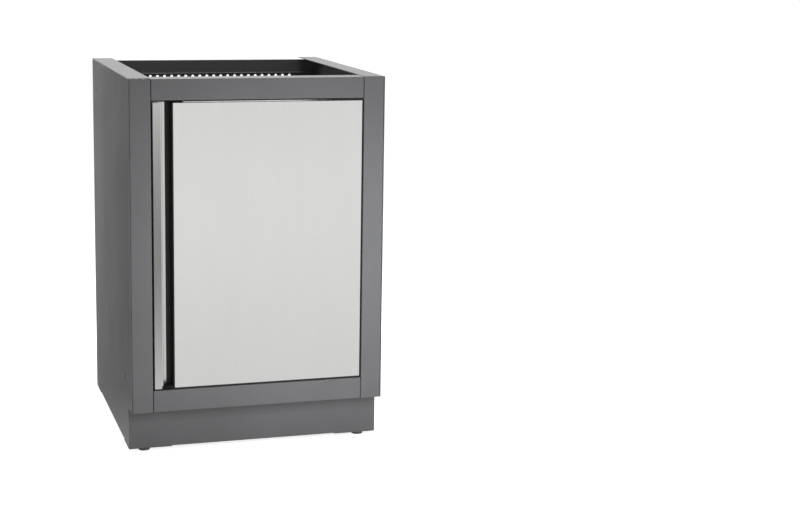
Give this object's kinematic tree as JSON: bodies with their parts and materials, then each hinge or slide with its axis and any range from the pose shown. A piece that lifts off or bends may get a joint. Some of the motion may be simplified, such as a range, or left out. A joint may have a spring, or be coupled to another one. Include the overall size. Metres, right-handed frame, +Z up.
{
  "type": "single door base cabinet",
  "caption": "Free-standing sheet-metal base cabinet with an open top, a recessed toe kick and one inset door with a full-height channel handle.",
  "frame": {"origin": "on the floor under the middle of the cabinet's width and depth", "axes": "+Z up, the front with the door faces -Y, +X is to the right of someone who faces the door"},
  "size_m": [0.61, 0.648, 0.897],
  "materials": {
    "frame": "satin charcoal powder coat",
    "door": "fine brushed",
    "steel": "plain",
    "liner": "black",
    "rubber": "matte",
    "nylon": "matte",
    "magnet": "plain"
  },
  "bodies": {
    "carcass": {"left_side_panel": "frame", "right_side_panel": "frame", "left_stile": "frame", "right_stile": "frame", "top_rail": "frame", "bottom_rail": "frame", "toe_kick_panel": "frame", "back_panel": "frame", "rear_top_rail": "frame", "floor_panel": "frame", "shelf": "frame", "left_shelf_angle": "frame", "right_shelf_angle": "frame", "foot_plate_front_left": "frame", "foot_plate_front_right": "frame", "foot_plate_rear_left": "frame", "foot_plate_rear_right": "frame", "catch_housing": "nylon", "catch_magnet": "magnet", "upper_bumper": "rubber", "lower_bumper": "rubber", "left_side_screw_rear_top": "steel", "right_side_screw_rear_top": "steel", "left_side_screw_rear_bottom": "steel", "right_side_screw_rear_bottom": "steel", "left_side_screw_front_bottom": "steel", "right_side_screw_front_bottom": "steel", "top_rail_screw_left": "steel", "top_rail_screw_right": "steel", "bottom_rail_screw_left": "steel", "bottom_rail_screw_right": "steel", "lower_hinge_plate": "steel", "upper_hinge_plate": "steel", "lower_hinge_pin": "steel", "upper_hinge_pin": "steel", "lower_hinge_screw_1": "steel", "lower_hinge_screw_2": "steel", "upper_hinge_screw_1": "steel", "upper_hinge_screw_2": "steel"},
    "door": {"door_skin": "door", "door_inner_panel": "door", "handle_profile": "door", "handle_liner": "liner", "handle_end_cap": "liner", "lower_pivot_block": "steel", "upper_pivot_block": "steel", "lower_pivot_bush": "nylon", "upper_pivot_bush": "nylon", "strike_plate": "steel", "handle_screw_lower": "steel", "handle_screw_upper": "steel"},
    "foot_front_left": {"foot_pad_front_left": "rubber", "foot_stud_front_left": "steel"},
    "foot_front_right": {"foot_pad_front_right": "rubber", "foot_stud_front_right": "steel"},
    "foot_rear_left": {"foot_pad_rear_left": "rubber", "foot_stud_rear_left": "steel"},
    "foot_rear_right": {"foot_pad_rear_right": "rubber", "foot_stud_rear_right": "steel"}
  },
  "joints": [
    {"name": "door_hinge", "type": "hinge", "parent": "carcass", "child": "door", "pos_m": [0.2365, -0.315, 0.503], "axis": [0, 0, 1], "range_deg": [0, 110]},
    {"name": "front_left_foot_height", "type": "slide", "parent": "carcass", "child": "foot_front_left", "axis": [0, 0, -1], "range_m": [0, 0.02]},
    {"name": "front_right_foot_height", "type": "slide", "parent": "carcass", "child": "foot_front_right", "axis": [0, 0, -1], "range_m": [0, 0.02]},
    {"name": "rear_left_foot_height", "type": "slide", "parent": "carcass", "child": "foot_rear_left", "axis": [0, 0, -1], "range_m": [0, 0.02]},
    {"name": "rear_right_foot_height", "type": "slide", "parent": "carcass", "child": "foot_rear_right", "axis": [0, 0, -1], "range_m": [0, 0.02]}
  ]
}
